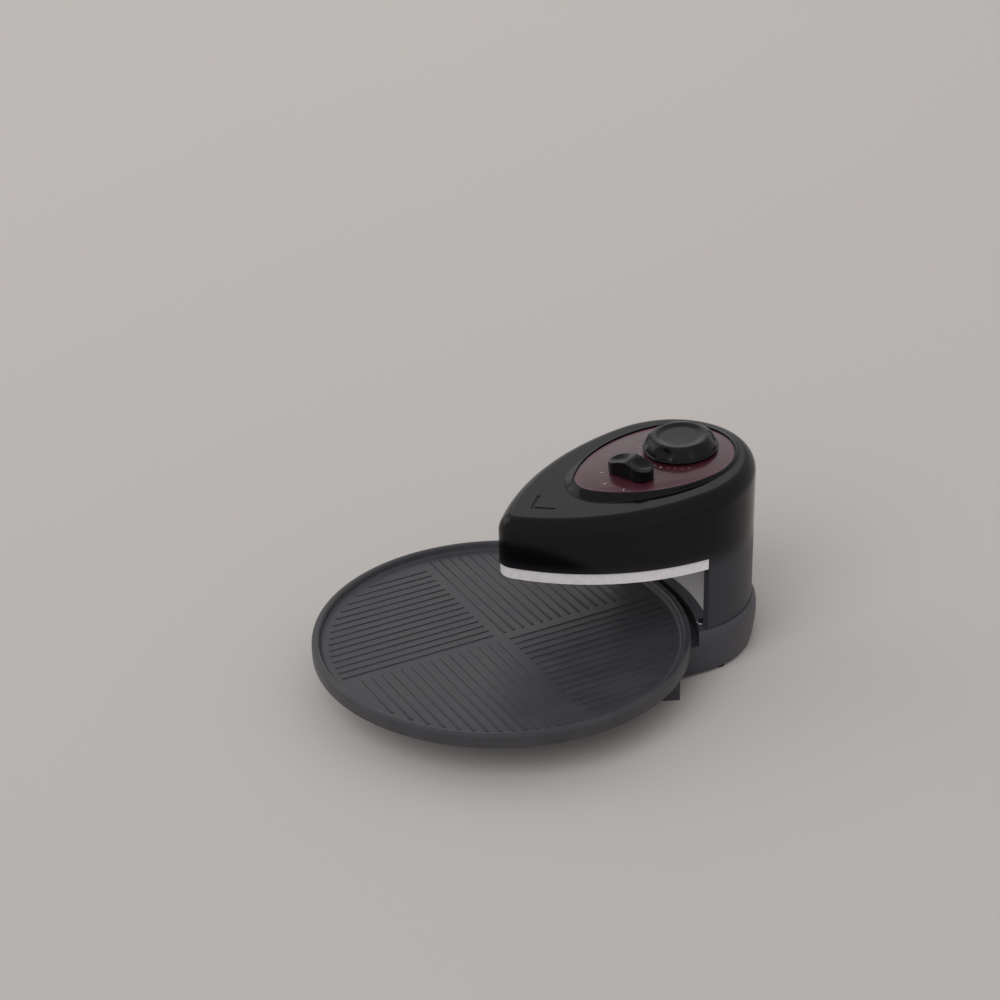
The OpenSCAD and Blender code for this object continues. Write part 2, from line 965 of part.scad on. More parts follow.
// Socket under the pan that drops over the hub's lugs
module pan_socket() {
    color(zinc)
    at_pan_axis()
    translate([0, 0, hub_z + flange_t + seat_gap])
    difference() {
        cylinder(r = 23, h = pan_under_z - hub_z - flange_t - seat_gap);
        translate([0, 0, -1])
        cylinder(r = hub_r + 0.4, h = 12);
        for (turn = lug_turns)
            rotate([0, 0, turn])
            translate([4, -lug_w / 2 - 0.4, -1])
            cube([lug_end - 3.4, lug_w + 0.8, pan_under_z - hub_z - flange_t]);
    }
}

// ---- Controls ----------------------------------------------------------

// Levels in the frame of the control plate
plate_top = plate_t - plate_recess;
inside_top = -plate_recess - panel_wall - 0.1;
knob_foot = plate_top + 0.5;
shaft_top = 9;
nut_r = 7.8;
nut_h = 2.2;

module timer_body() {
    color([0.7, 0.7, 0.68])
    on_panel(timer_x, timer_y)
    difference() {
        union() {
            translate([-27, -27, inside_top - 21])
            cube([54, 54, 20]);
            translate([0, 0, inside_top - 1.5])
            cylinder(r = 22, h = 1.5);
            translate([0, 0, inside_top - 1])
            cylinder(r = control_bush_r, h = plate_top - inside_top + 4);
        }
        translate([0, 0, inside_top - 12])
        cylinder(r = knob_shaft_r + running_gap, h = 40);
    }
}

module timer_bell() {
    color(silver)
    on_panel(timer_x, timer_y)
    translate([0, 0, inside_top - 21])
    difference() {
        translate([0, 0, -8])
        cylinder(r1 = 17, r2 = 20, h = 8);
        translate([0, 0, -9])
        cylinder(r1 = 15.6, r2 = 18.6, h = 8);
    }
}

module hex_nut(p) {
    color(zinc)
    on_panel(p.x, p.y)
    translate([0, 0, plate_top])
    difference() {
        cylinder(r = nut_r, h = nut_h, $fn = 6);
        translate([0, 0, -1])
        cylinder(r = control_bush_r, h = 5);
    }
}

module timer_nut() {
    hex_nut(timer_at);
}

module heat_switch_nut() {
    hex_nut(selector_at);
}

module heat_switch() {
    color([0.88, 0.86, 0.8])
    on_panel(selector_x, selector_y)
    difference() {
        union() {
            translate([-15, -15, inside_top - 19])
            cube([30, 30, 18]);
            for (x = [-9, 0, 9])
                translate([x - 3.1, -0.4, inside_top - 26])
                cube([6.2, 0.8, 8]);
            translate([0, 0, inside_top - 1.5])
            cylinder(r = 13, h = 1.5);
            translate([0, 0, inside_top - 1])
            cylinder(r = control_bush_r, h = plate_top - inside_top + 4);
        }
        translate([0, 0, inside_top - 12])
        cylinder(r = knob_shaft_r + running_gap, h = 40);
    }
}

module control_shaft(p) {
    color(silver)
    on_panel(p.x, p.y)
    translate([0, 0, inside_top - 11])
    cylinder(r = knob_shaft_r, h = shaft_top - inside_top + 11);
}

module timer_shaft() {
    control_shaft(timer_at);
}

module selector_shaft() {
    control_shaft(selector_at);
}

// Hollow under a knob that clears the nut, and the bore that takes the shaft
module knob_hollow(r) {
    translate([0, 0, -1])
    cylinder(r = r, h = 4.6);
    translate([0, 0, -1])
    cylinder(r = knob_shaft_r + 0.01, h = shaft_top - knob_foot + 1.4);
}

// Timer knob: a dished cap with six broad scallops on a round skirt
module timer_knob() {
    r = timer_knob_d / 2;
    h = timer_knob_h;
    color(black)
    on_panel(timer_x, timer_y)
    translate([0, 0, knob_foot])
    difference() {
        union() {
            rotate_extrude()
            polygon([[0, 0], [r - 1.2, 0], [r, 1.2], [r, 2.3], [r - 1, 3], [0, 3]]);
            difference() {
                rotate_extrude()
                polygon([
                    [0, 2], [r - 1.4, 2], [r - 2.5, h - 6], [r - 4.5, h - 3], [r - 7, h - 0.8],
                    [r - 9.5, h], [r - 12, h - 0.1], [r - 14, h - 0.8], [r - 17, h - 1.5], [0, h - 1.7]
                ]);
                for (turn = [0:60:300])
                    rotate([0, 0, turn])
                    translate([r + 10, 0, h + 2.7])
                    sphere(r = 19);
            }
        }
        knob_hollow(10);
    }
}

// Selector knob: two round lobes with a cross ridge between them; each lobe's top
// slants outwards and is dished for a finger
selector_turn = 22;

module selector_knob() {
    lobe_r = 11;
    lobe_x = selector_knob_d / 2 - lobe_r;
    ridge = 1.5;
    slant = 15;
    dish_r = 15.6;
    h = selector_knob_h;
    color(black)
    on_panel(selector_x, selector_y)
    translate([0, 0, knob_foot])
    rotate([0, 0, selector_turn])
    difference() {
        union() {
            for (x = [-lobe_x, lobe_x])
                translate([x, 0, 0])
                cylinder(r = lobe_r, h = h);
            translate([-lobe_x, 0.8 - lobe_r, 0])
            cube([2 * lobe_x, 2 * (lobe_r - 0.8), h]);
        }
        for (side = [0, 180])
            rotate([0, 0, side])
            translate([ridge, 0, h])
            rotate([0, slant, 0]) {
                translate([0, -30, 0])
                cube([60, 60, 30]);
                translate([(lobe_x - ridge) / cos(slant), 0, dish_r - 3])
                sphere(r = dish_r);
            }
        knob_hollow(8.5);
    }
}

// ---- Electrical --------------------------------------------------------

module thermal_cutout() {
    color([0.3, 0.24, 0.18])
    at_pan_axis()
    translate([-42, 170, baffle_z + baffle_t]) {
        cylinder(r = 8, h = 9);
        for (x = [-5, 5])
            translate([x - 3, -0.4, 8])
            cube([6, 0.8, 9]);
    }
}

terminal_h = 14;

module terminal_block() {
    color([0.85, 0.82, 0.72])
    at_pan_axis()
    translate([-24, wire_y - 3, base_lift + cover_t])
    difference() {
        cube([48, 16, terminal_h]);
        for (i = [0:3])
            translate([6 + 12 * i, 10, 5])
            cylinder(r = 3, h = 12);
    }
}

// Wires that climb inside the column from the terminals to the switch
module wire_loom() {
    color([0.75, 0.72, 0.65])
    at_pan_axis()
    for (x = [-4, 0, 4])
        translate([x, wire_y, base_lift + cover_t + terminal_h])
        cylinder(r = 1.6, h = baffle_z + 12 - base_lift - cover_t - terminal_h);
}

// Bushed inlet for the supply cord
cord_bore_r = 3.7;

module cord_gland() {
    color([0.1, 0.1, 0.1])
    at_pan_axis()
    translate([0, gland_y, gland_z])
    rotate([-90, 0, 0])
    difference() {
        union() {
            cylinder(r = gland_hole_r, h = gland_length);
            cylinder(r = gland_hole_r + 2.2, h = 1.9);
        }
        translate([0, 0, -1])
        cylinder(r = cord_bore_r, h = gland_length + 2);
    }
}

module rubber_feet() {
    color([0.15, 0.15, 0.15])
    at_pan_axis()
    for (p = foot_spots)
        translate([p.x, p.y, 0])
        cylinder(r1 = 5.5, r2 = 6, h = base_lift);
}

// ---- Screws ------------------------------------------------------------

module cover_screws() {
    color(zinc)
    at_pan_axis()
    for (p = cover_screw_spots)
        translate([p.x, p.y, base_lift])
        mirror([0, 0, 1])
        screw(12);
}

module head_screws() {
    color(zinc)
    at_pan_axis()
    mirrored()
    for (p = boss_spots)
        translate([p.x, p.y, reflector_top_z - sheet])
        mirror([0, 0, 1])
        screw(16);
}

module bracket_screws() {
    color(zinc)
    at_pan_axis()
    for (p = bracket_screw_spots)
        translate([p.x, p.y, deck_z + bracket_t])
        screw(7);
}

module outrigger_screws() {
    color(zinc)
    at_pan_axis()
    mirrored()
    for (y = outrigger_screw_ys)
        translate([side_x(base_plan, y, -base_wall - 2), y, outrigger_screw_z])
        rotate([0, -90, 0])
        screw(9);
}

module deck_screws() {
    color(zinc)
    at_pan_axis()
    for (p = deck_screw_spots)
        translate([p.x, p.y, deck_z + sheet])
        screw(5);
}

upper_housing();
control_plate();
upper_reflector();
upper_element();
upper_element_clips();
heat_baffle();
column_shield();
column_bracket();
base_housing();
base_deck();
bottom_cover();
left_outrigger();
right_outrigger();
lower_reflector();
lower_element();
lower_element_clips();
drive_motor();
motor_bracket();
hub_bush();
timer_body();
timer_bell();
timer_nut();
heat_switch();
heat_switch_nut();
thermal_cutout();
terminal_block();
wire_loom();
cord_gland();
rubber_feet();
cover_screws();
head_screws();
bracket_screws();
motor_screws();
outrigger_screws();
deck_screws();
motor_shaft();
drive_hub();
baking_pan();
pan_socket();
timer_knob();
timer_shaft();
selector_knob();
selector_shaft();
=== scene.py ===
import json
import math

import bmesh
import bpy
from mathutils import Matrix, Vector


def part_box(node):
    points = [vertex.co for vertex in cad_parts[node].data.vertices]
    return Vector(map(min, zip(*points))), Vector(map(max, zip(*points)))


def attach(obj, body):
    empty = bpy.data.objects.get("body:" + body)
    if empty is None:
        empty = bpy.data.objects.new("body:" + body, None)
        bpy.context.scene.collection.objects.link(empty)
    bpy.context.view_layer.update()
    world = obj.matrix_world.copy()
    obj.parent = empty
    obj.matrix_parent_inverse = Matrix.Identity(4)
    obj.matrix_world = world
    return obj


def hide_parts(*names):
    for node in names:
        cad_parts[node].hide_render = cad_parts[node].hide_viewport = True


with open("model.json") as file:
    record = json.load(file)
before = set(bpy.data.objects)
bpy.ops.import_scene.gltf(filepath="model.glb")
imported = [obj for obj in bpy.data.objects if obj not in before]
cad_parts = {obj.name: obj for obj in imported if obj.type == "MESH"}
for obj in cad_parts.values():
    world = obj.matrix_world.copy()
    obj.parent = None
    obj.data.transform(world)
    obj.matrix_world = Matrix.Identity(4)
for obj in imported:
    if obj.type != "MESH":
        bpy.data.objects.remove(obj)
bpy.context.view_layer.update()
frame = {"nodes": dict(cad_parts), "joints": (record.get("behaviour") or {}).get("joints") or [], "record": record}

MM = 0.001

# ---- The frame's own sizes -------------------------------------------------

PAN_LOW, PAN_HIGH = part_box("baking_pan")
PAN_AXIS = Vector(((PAN_LOW.x + PAN_HIGH.x) / 2, (PAN_LOW.y + PAN_HIGH.y) / 2, 0))
JOINTS = {joint["name"]: joint for joint in frame["joints"]}


def dial(joint_name):
    """Where a knob turns: the point on the sloping top, and the top's own axes."""
    joint = JOINTS[joint_name]
    axis = Vector(joint["axis"]).normalized()
    across = Vector((1, 0, 0))
    along = axis.cross(across)
    turn = Matrix((across, along, axis)).transposed().to_4x4()
    return Matrix.Translation(Vector(joint["pos_m"])) @ turn


TIMER = dial("timer_turn")
SELECTOR = dial("selector_turn")

# ---- Camera ----------------------------------------------------------------

VIEW_AZIMUTH = 62.3
VIEW_ELEVATION = 28.0
VIEW_ROLL = -0.97
LENS_MM = 90.5
SENSOR_MM = 36.0
CAMERA_DISTANCE = 2.245
# What the camera and the lamps look at: a point behind the pan's axis, over the table
AIM = PAN_AXIS + Vector((0, 0.05, 0.08))
# How far right and below the picture's middle that point sits, in metres
AIM_RIGHT = 0.0448
AIM_BELOW = 0.0782


def make_camera():
    """A long lens from the right front and above, as the photo was taken."""
    azimuth, elevation, roll = (
        math.radians(angle) for angle in (VIEW_AZIMUTH, VIEW_ELEVATION, VIEW_ROLL)
    )
    back = Vector((
        math.sin(azimuth) * math.cos(elevation),
        -math.cos(azimuth) * math.cos(elevation),
        math.sin(elevation),
    ))
    level_right = Vector((math.cos(azimuth), math.sin(azimuth), 0))
    level_up = back.cross(level_right)
    right = math.cos(roll) * level_right + math.sin(roll) * level_up
    up = math.cos(roll) * level_up - math.sin(roll) * level_right
    place = AIM - right * AIM_RIGHT + up * AIM_BELOW + back * CAMERA_DISTANCE
    data = bpy.data.cameras.new("camera")
    data.lens = LENS_MM
    data.sensor_width = SENSOR_MM
    camera = bpy.data.objects.new("camera", data)
    turn = Matrix((right, up, back)).transposed().to_4x4()
    camera.matrix_world = Matrix.Translation(place) @ turn
    bpy.context.scene.collection.objects.link(camera)
    bpy.context.scene.camera = camera


# ---- Materials -------------------------------------------------------------

def srgb(hex_colour):
    """Linear RGBA of an sRGB hex colour."""
    channels = [int(hex_colour[i:i + 2], 16) / 255 for i in (1, 3, 5)]
    linear = [c / 12.92 if c <= 0.04045 else ((c + 0.055) / 1.055) ** 2.4 for c in channels]
    return (*linear, 1)


def add(material, kind, links=None, **settings):
    """One node: its sockets set by name, its inputs linked from other nodes' outputs."""
    node = material.node_tree.nodes.new(kind)
    for name, value in settings.items():
        setattr(node, name, value)
    for socket, source in (links or {}).items():
        if isinstance(source, tuple) and hasattr(source[0], "outputs"):
            material.node_tree.links.new(source[0].outputs[source[1]], node.inputs[socket])
        else:
            node.inputs[socket].default_value = source
    return node


def per_mm(size_mm):
    """Texture scale, in cycles per metre, of a pattern whose feature is size_mm across."""
    return 1 / (size_mm * MM)


# The part of a noise node's range that most of its values fall in
NOISE_LOW = 0.35
NOISE_HIGH = 0.65
PATCH_DETAIL = 3.0


def surface(name, colour, roughness, **rest):
    """A Principled material on its output, with object coordinates for its patterns."""
    material = bpy.data.materials.new(name)
    material.use_nodes = True
    material.node_tree.nodes.clear()
    shader = add(material, "ShaderNodeBsdfPrincipled", {
        "Base Color": srgb(colour), "Roughness": roughness,
        **{socket.replace("_", " "): value for socket, value in rest.items()},
    })
    add(material, "ShaderNodeOutputMaterial", {"Surface": (shader, "BSDF")})
    where = add(material, "ShaderNodeTexCoord")
    return material, shader, where


def mottle(material, shader, where, size_mm, dark, light, low, high, stretch=(1, 1, 1)):
    """Colour and roughness that drift together over patches size_mm across."""
    fit = add(material, "ShaderNodeMapping", {"Vector": (where, "Object"), "Scale": stretch})
    noise = add(material, "ShaderNodeTexNoise", {
        "Vector": (fit, "Vector"), "Scale": per_mm(size_mm), "Detail": PATCH_DETAIL,
    })
    ramp = add(material, "ShaderNodeValToRGB", {"Fac": (noise, "Fac")})
    ramp.color_ramp.elements[0].position = NOISE_LOW
    ramp.color_ramp.elements[1].position = NOISE_HIGH
    ramp.color_ramp.elements[0].color = srgb(dark)
    ramp.color_ramp.elements[1].color = srgb(light)
    material.node_tree.links.new(ramp.outputs["Color"], shader.inputs["Base Color"])
    spread = add(material, "ShaderNodeMapRange", {
        "Value": (noise, "Fac"), "From Min": NOISE_LOW, "From Max": NOISE_HIGH,
        "To Min": low, "To Max": high,
    })
    material.node_tree.links.new(spread.outputs["Result"], shader.inputs["Roughness"])
    return fit


def relief(material, shader, fit, size_mm, height_mm, detail=2.0):
    """Fine surface relief of features size_mm across and height_mm deep."""
    grain = add(material, "ShaderNodeTexNoise", {
        "Vector": (fit, "Vector"), "Scale": per_mm(size_mm), "Detail": detail,
    })
    bump = add(material, "ShaderNodeBump", {
        "Height": (grain, "Fac"), "Distance": height_mm * MM, "Strength": 1.0,
    })
    material.node_tree.links.new(bump.outputs["Normal"], shader.inputs["Normal"])


# The head's moulding is polished above and satin below, and changes between two heights. Below, its base colour is
# also a paler grey: painted sheen that stands in for the lighter, lit look of the column's wall
POLISHED_BLACK = "#060507"
POLISHED_ROUGHNESS = 0.1
POLISHED_ABOVE = 0.128
SATIN_GREY_WITH_PAINTED_SHEEN = "#37363b"
SATIN_ROUGHNESS = 0.4
SATIN_BELOW = 0.100
# How far the change strays, as a part of its own height, and over how wide a patch
STRAY = 0.08
STRAY_MM = 60


def gloss_black_abs():
    """Moulded ABS: polished to a near mirror on the head, satin on the column's wall, whose paler grey base colour
    is painted sheen.
    """
    material, shader, where = surface(
        "gloss_black_abs", POLISHED_BLACK, POLISHED_ROUGHNESS, Specular_IOR_Level=0.24,
    )
    fit = add(material, "ShaderNodeMapping", {"Vector": (where, "Object")})
    height = add(material, "ShaderNodeSeparateXYZ", {"Vector": (where, "Object")})
    polish_and_painted_sheen = add(material, "ShaderNodeMapRange", {
        "Value": (height, "Z"), "From Min": SATIN_BELOW, "From Max": POLISHED_ABOVE,
        "To Min": 0.0, "To Max": 1.0,
    }, interpolation_type="SMOOTHSTEP")
    drift = add(material, "ShaderNodeTexNoise", {
        "Vector": (fit, "Vector"), "Scale": per_mm(STRAY_MM), "Detail": PATCH_DETAIL,
    })
    cloud = add(material, "ShaderNodeMapRange", {
        "Value": (drift, "Fac"), "To Min": -STRAY, "To Max": STRAY,
    })
    both = add(material, "ShaderNodeMath", {
        0: (polish_and_painted_sheen, "Result"), 1: (cloud, "Result"),
    }, operation="ADD")
    # Base colour runs from a paler grey below, painted sheen for the lit lower wall, to black above
    colour = add(material, "ShaderNodeValToRGB", {"Fac": (both, "Value")})
    colour.color_ramp.elements[0].color = srgb(SATIN_GREY_WITH_PAINTED_SHEEN)
    colour.color_ramp.elements[1].color = srgb(POLISHED_BLACK)
    material.node_tree.links.new(colour.outputs["Color"], shader.inputs["Base Color"])
    gloss = add(material, "ShaderNodeMapRange", {
        "Value": (both, "Value"), "To Min": SATIN_ROUGHNESS, "To Max": POLISHED_ROUGHNESS,
    })
    material.node_tree.links.new(gloss.outputs["Result"], shader.inputs["Roughness"])
    relief(material, shader, fit, 22, 0.012, 0.0)
    return material


def satin_black_polypropylene():
    """Moulded polypropylene with a fine spark-eroded grain, drawn coarse enough to show."""
    material, shader, where = surface("satin_black_polypropylene", "#3b3a40", 0.42)
    fit = mottle(material, shader, where, 45, "#38373c", "#403f45", 0.38, 0.48)
    relief(material, shader, fit, 0.9, 0.03)
    return material


def gloss_black_phenolic():
    """Compression-moulded phenolic: deep black, a soft sheen on every rounded edge."""
    material, shader, where = surface(
        "gloss_black_phenolic", "#070708", 0.16, Specular_IOR_Level=0.28,
    )
    fit = mottle(material, shader, where, 14, "#060607", "#0b0b0d", 0.13, 0.22)
    relief(material, shader, fit, 5, 0.01, 0.0)
    return material


def printed_polycarbonate():
    """Reverse-printed maroon plate: colour under a clear glossy face."""
    material, shader, where = surface(
        "printed_polycarbonate", "#3f1a24", 0.4,
        Coat_Weight=0.6, Coat_Roughness=0.05, Specular_IOR_Level=0.3,
    )
    fit = mottle(material, shader, where, 30, "#3c1822", "#452029", 0.36, 0.46)
    relief(material, shader, fit, 9, 0.008, 0.0)
    return material


def aluminised_steel():
    """Rolled sheet with its dull aluminium skin: pale and soft, a faint cloud of crystals."""
    material, shader, where = surface("aluminised_steel", "#e6e3e6", 0.42, Metallic=0.2)
    fit = mottle(material, shader, where, 5, "#e1dee1", "#ebe8eb", 0.36, 0.48)
    relief(material, shader, fit, 0.7, 0.004)
    return material


def oxidised_sheath():
    """Nickel alloy heater tube after first firing: dark olive-grey oxide."""
    material, shader, where = surface("oxidised_sheath", "#3b3c3a", 0.5, Metallic=0.7)
    fit = mottle(material, shader, where, 7, "#31322f", "#4a4a46", 0.42, 0.6)
    relief(material, shader, fit, 0.6, 0.01)
    return material


def nonstick_coating():
    """Sprayed charcoal non-stick on pressed aluminium: satin, with a faint orange peel."""
    material, shader, where = surface("nonstick_coating", "#343337", 0.42)
    fit = mottle(material, shader, where, 35, "#313034", "#3a393d", 0.37, 0.47)
    relief(material, shader, fit, 1.1, 0.02)
    return material


def zinc_plate():
    """Bright zinc on pressed steel: pale blue-grey, slightly cloudy."""
    material, shader, where = surface("zinc_plate", "#a9adb4", 0.34, Metallic=1.0)
    fit = mottle(material, shader, where, 6, "#9ea3ab", "#b8bbc0", 0.28, 0.42)
    relief(material, shader, fit, 0.8, 0.005)
    return material


def black_oxide():
    """Blackened screw: near black with a faint metallic edge."""
    material, shader, where = surface("black_oxide", "#232326", 0.45, Metallic=0.6)
    fit = mottle(material, shader, where, 2, "#1e1e21", "#2a2a2e", 0.4, 0.52)
    relief(material, shader, fit, 0.6, 0.004)
    return material


def turned_steel():
    """Turned shaft: bright, with fine bands across its length."""
    material, shader, where = surface("turned_steel", "#b9babd", 0.24, Metallic=1.0)
    fit = mottle(material, shader, where, 2, "#b0b1b5", "#c6c7c9", 0.18, 0.3, (0.1, 0.1, 1))
    relief(material, shader, fit, 0.5, 0.004)
    return material


def mica_board():
    """Pressed mica insulation: warm grey flakes."""
    material, shader, where = surface("mica_board", "#b9ab90", 0.7)
    fit = mottle(material, shader, where, 2.5, "#a5977c", "#cabd9f", 0.6, 0.8)
    relief(material, shader, fit, 1.2, 0.04)
    return material


def matt_black_polypropylene():
    """Unpolished moulding seen only from below."""
    material, shader, where = surface("matt_black_polypropylene", "#19191a", 0.6)
    fit = mottle(material, shader, where, 30, "#161617", "#1f1f21", 0.55, 0.66)
    relief(material, shader, fit, 1.0, 0.04)
    return material


def glass_filled_nylon():
    """Hub and bush: dull charcoal with pale fibre flecks."""
    material, shader, where = surface("glass_filled_nylon", "#3a3a3c", 0.55)
    fit = mottle(material, shader, where, 1.5, "#323234", "#4a4a4c", 0.48, 0.62, (1, 0.3, 1))
    relief(material, shader, fit, 0.8, 0.02)
    return material


def die_cast_zinc():
    """Timer case: grey casting skin with a slight grain."""
    material, shader, where = surface("die_cast_zinc", "#8f908c", 0.48, Metallic=0.8)
    fit = mottle(material, shader, where, 5, "#858682", "#9b9c98", 0.42, 0.56)
    relief(material, shader, fit, 0.9, 0.02)
    return material


def cream_phenolic():
    """Electrical moulding: warm cream, semi-matt."""
    material, shader, where = surface("cream_phenolic", "#cfc6ae", 0.5)
    fit = mottle(material, shader, where, 8, "#c7bda4", "#d8d0ba", 0.45, 0.56)
    relief(material, shader, fit, 1.5, 0.02)
    return material


def glass_braid():
    """Heat-proof wire sleeve: woven glass, pale and matt, with a deep uneven grain."""
    material, shader, where = surface("glass_braid", "#b8b09c", 0.75)
    fit = mottle(material, shader, where, 1.2, "#a89f8a", "#c8c1ae", 0.68, 0.82)
    relief(material, shader, fit, 0.7, 0.08)
    return material


def moulded_rubber():
    """Black rubber: matt with a dusty bloom."""
    material, shader, where = surface("moulded_rubber", "#1b1b1b", 0.75)
    fit = mottle(material, shader, where, 6, "#171717", "#242424", 0.68, 0.84)
    relief(material, shader, fit, 0.8, 0.04)
    return material


FINISH = {
    "housing_black": gloss_black_abs(),
    "base_black": satin_black_polypropylene(),
    "knob_black": gloss_black_phenolic(),
    "panel_maroon": printed_polycarbonate(),
    "bright_steel": aluminised_steel(),
    "element_sheath": oxidised_sheath(),
    "nonstick_pan": nonstick_coating(),
    "zinc_plated_steel": zinc_plate(),
    "shaft_steel": turned_steel(),
    "insulation": mica_board(),
    "cover_plastic": matt_black_polypropylene(),
    "hub_plastic": glass_filled_nylon(),
    "timer_case": die_cast_zinc(),
    "switch_case": cream_phenolic(),
    "wire_cover": glass_braid(),
    "rubber_black": moulded_rubber(),
}
SLOT_OF = {row["node"]: row["material_slot"] for row in frame["record"]["subparts"]}
BODY_OF = {
    node: body for body, nodes in frame["record"]["behaviour"]["bodies"].items() for node in nodes
}


def finish_nodes():
    """Every CAD node takes the finish of its own slot."""
    for name, node in frame["nodes"].items():
        node.data.materials.clear()
        node.data.materials.append(FINISH[SLOT_OF[name]])


# ---- Printing inks ---------------------------------------------------------

def printed_ink(name, dark, light):
    """Screen-printed ink: an even colour with the faint mottle of the mesh it went through."""
    material, shader, where = surface(name, dark, 0.35)
    fit = mottle(material, shader, where, 1.5, dark, light, 0.3, 0.42)
    relief(material, shader, fit, 0.6, 0.003)
    return material


WHITE_INK = printed_ink("white_screen_ink", "#b9b2b4", "#c6c0c1")
PALE_INK = printed_ink("pale_maroon_screen_ink", "#6a3a47", "#70414d")

# ---- Pieces ----------------------------------------------------------------

def piece_from(mesh, name, slot, body, replaced=(), crease_degrees=35, finish=None):
    """A finished bmesh as a piece of the model: smooth faces, sharp creases, its own finish."""
    crease = math.radians(crease_degrees)
    for face in mesh.faces:
        face.smooth = True
    for edge in mesh.edges:
        edge.smooth = edge.calc_face_angle(0) < crease
    data = bpy.data.meshes.new(name)
    mesh.to_mesh(data)
    mesh.free()
    piece = bpy.data.objects.new(name, data)
    bpy.context.scene.collection.objects.link(piece)
    data.materials.append(finish or FINISH[slot])
    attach(piece, body)
    if replaced:
        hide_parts(*replaced)
    return piece


def add_wall(piece, thickness_mm):
    """The sheet's thickness, laid on the inside of the visible skin."""
    wall = piece.modifiers.new("wall", "SOLIDIFY")
    wall.thickness = thickness_mm * MM
    wall.offset = -1
    wall.use_even_offset = True


def soften(piece, round_mm, crease_degrees=28, segments=2):
    """Rounded edges and even shading, as a moulding or a pressing leaves the tool."""
    bevel = piece.modifiers.new("soft_edges", "BEVEL")
    bevel.width = round_mm * MM
    bevel.segments = segments
    bevel.limit_method = "ANGLE"
    bevel.angle_limit = math.radians(crease_degrees)
    bevel.harden_normals = True
    bevel.miter_outer = "MITER_ARC"
    even_shading(piece)


def even_shading(piece):
    """Large faces lead the shading, so that narrow roundings don't bend it."""
    normals = piece.modifiers.new("even_shading", "WEIGHTED_NORMAL")
    normals.keep_sharp = True


# A CAD mesh's points closer than this are one, and faces this near to flat are one face
MERGE_MM = 0.01
FLAT_DEGREES = 0.4


def dress(name, round_mm, crease_degrees=28, finish=None):
    """A merged copy of a CAD node with smooth faces and softened edges, in its place."""
    mesh = bmesh.new()
    mesh.from_mesh(frame["nodes"][name].data)
    bmesh.ops.remove_doubles(mesh, verts=mesh.verts, dist=MERGE_MM * MM)
    bmesh.ops.dissolve_limit(
        mesh, angle_limit=math.radians(FLAT_DEGREES), verts=mesh.verts, edges=mesh.edges,
    )
    piece = piece_from(
        mesh, f"{name}_finished", SLOT_OF[name], BODY_OF[name], (name,), crease_degrees, finish,
    )
    soften(piece, round_mm, crease_degrees)


def to_place(mesh, place=None):
    """From millimetres about the pan's axis, or about a dial, to metres in the frame."""
    bmesh.ops.recalc_face_normals(mesh, faces=mesh.faces)
    bmesh.ops.scale(mesh, vec=(MM, MM, MM), verts=mesh.verts)
    place = place or Matrix.Translation(PAN_AXIS)
    bmesh.ops.transform(mesh, matrix=place, verts=mesh.verts)


# ---- Boat-shaped plans -----------------------------------------------------

# From here on, lengths are in millimetres, y is counted from the pan's axis and z from the
# table. A plan is its nose's centre and radius, its stern's centre and radius, and the
# radius of its two sides.
HEAD_PLAN = (18, 17, 166, 83, 215)
BEZEL_PLAN = (111, 40, 178, 57.4, 150)
PANEL_PLAN = (103.7, 25, 177.9, 53.5, 109.8)
STERN_STEPS = 40
SIDE_STEPS = 44
NOSE_STEPS = 30
# Ends of two arcs closer than this are joined
PLAN_SEAM = 0.002
# Sharpest turn that stays a smooth face on what is spun round
SPUN_CREASE_DEGREES = 60

# The head's sloping top: its height over the stern's centre, and its rise with y
HEAD_TOP = 179
TOP_SLOPE = 0.1
# The bezel's rim and the control plate: their rise over the top at the panel's nose
PANEL_RISE = 5.1
PANEL_SLOPE = 0.066


def top_z(y):
    """Height of the head's sloping top."""
    return HEAD_TOP + TOP_SLOPE * (y - HEAD_PLAN[2])


def panel_z(y):
    """Height of the bezel's rim and of the control plate's plane."""
    return top_z(PANEL_PLAN[0]) + PANEL_RISE + PANEL_SLOPE * (y - PANEL_PLAN[0])


def spin_round(mesh, plan, section):
    """Spin what stands at the stern's tip once round a boat-shaped plan."""
    nose, nose_r, stern, stern_r, side_r = plan
    to_nose, to_stern = side_r - nose_r, side_r - stern_r
    side_y = (to_nose ** 2 - to_stern ** 2 + stern ** 2 - nose ** 2) / (2 * (stern - nose))
    side_x = math.sqrt(to_nose ** 2 - (side_y - nose) ** 2)
    nose_turn = math.atan2(nose - side_y, side_x)
    stern_turn = math.atan2(stern - side_y, side_x)
    half_stern = ((0, stern), math.pi / 2 - stern_turn, STERN_STEPS)
    for (x, y), angle, steps in (
        half_stern,
        ((side_x, side_y), stern_turn - nose_turn, SIDE_STEPS),
        ((0, nose), math.pi + 2 * nose_turn, NOSE_STEPS),
        ((-side_x, side_y), stern_turn - nose_turn, SIDE_STEPS),
        half_stern,
    ):
        section = bmesh.ops.spin(
            mesh, geom=section, cent=(x, y, 0), axis=(0, 0, 1), angle=angle, steps=steps,
        )["geom_last"]
    bmesh.ops.remove_doubles(mesh, verts=mesh.verts, dist=PLAN_SEAM)


def ring(mesh, plan, grow, height):
    """A closed ring of edges round a plan grown outwards, at a height that depends on y."""
    known = set(mesh.edges)
    start = mesh.verts.new((0, plan[2] + plan[3] + grow, 0))
    spin_round(mesh, plan, [start])
    edges = [edge for edge in mesh.edges if edge not in known]
    for vertex in {v for edge in edges for v in edge.verts}:
        vertex.co.z = height(vertex.co.y)
    return edges


def skin(mesh, last, rings):
    """Faces from one ring to the next, and every ring's edges."""
    rows = []
    for plan, grow, height in rings:
        edges = ring(mesh, plan, grow, height)
        if last:
            bmesh.ops.bridge_loops(mesh, edges=last + edges)
        rows.append(edges)
        last = edges
    return rows


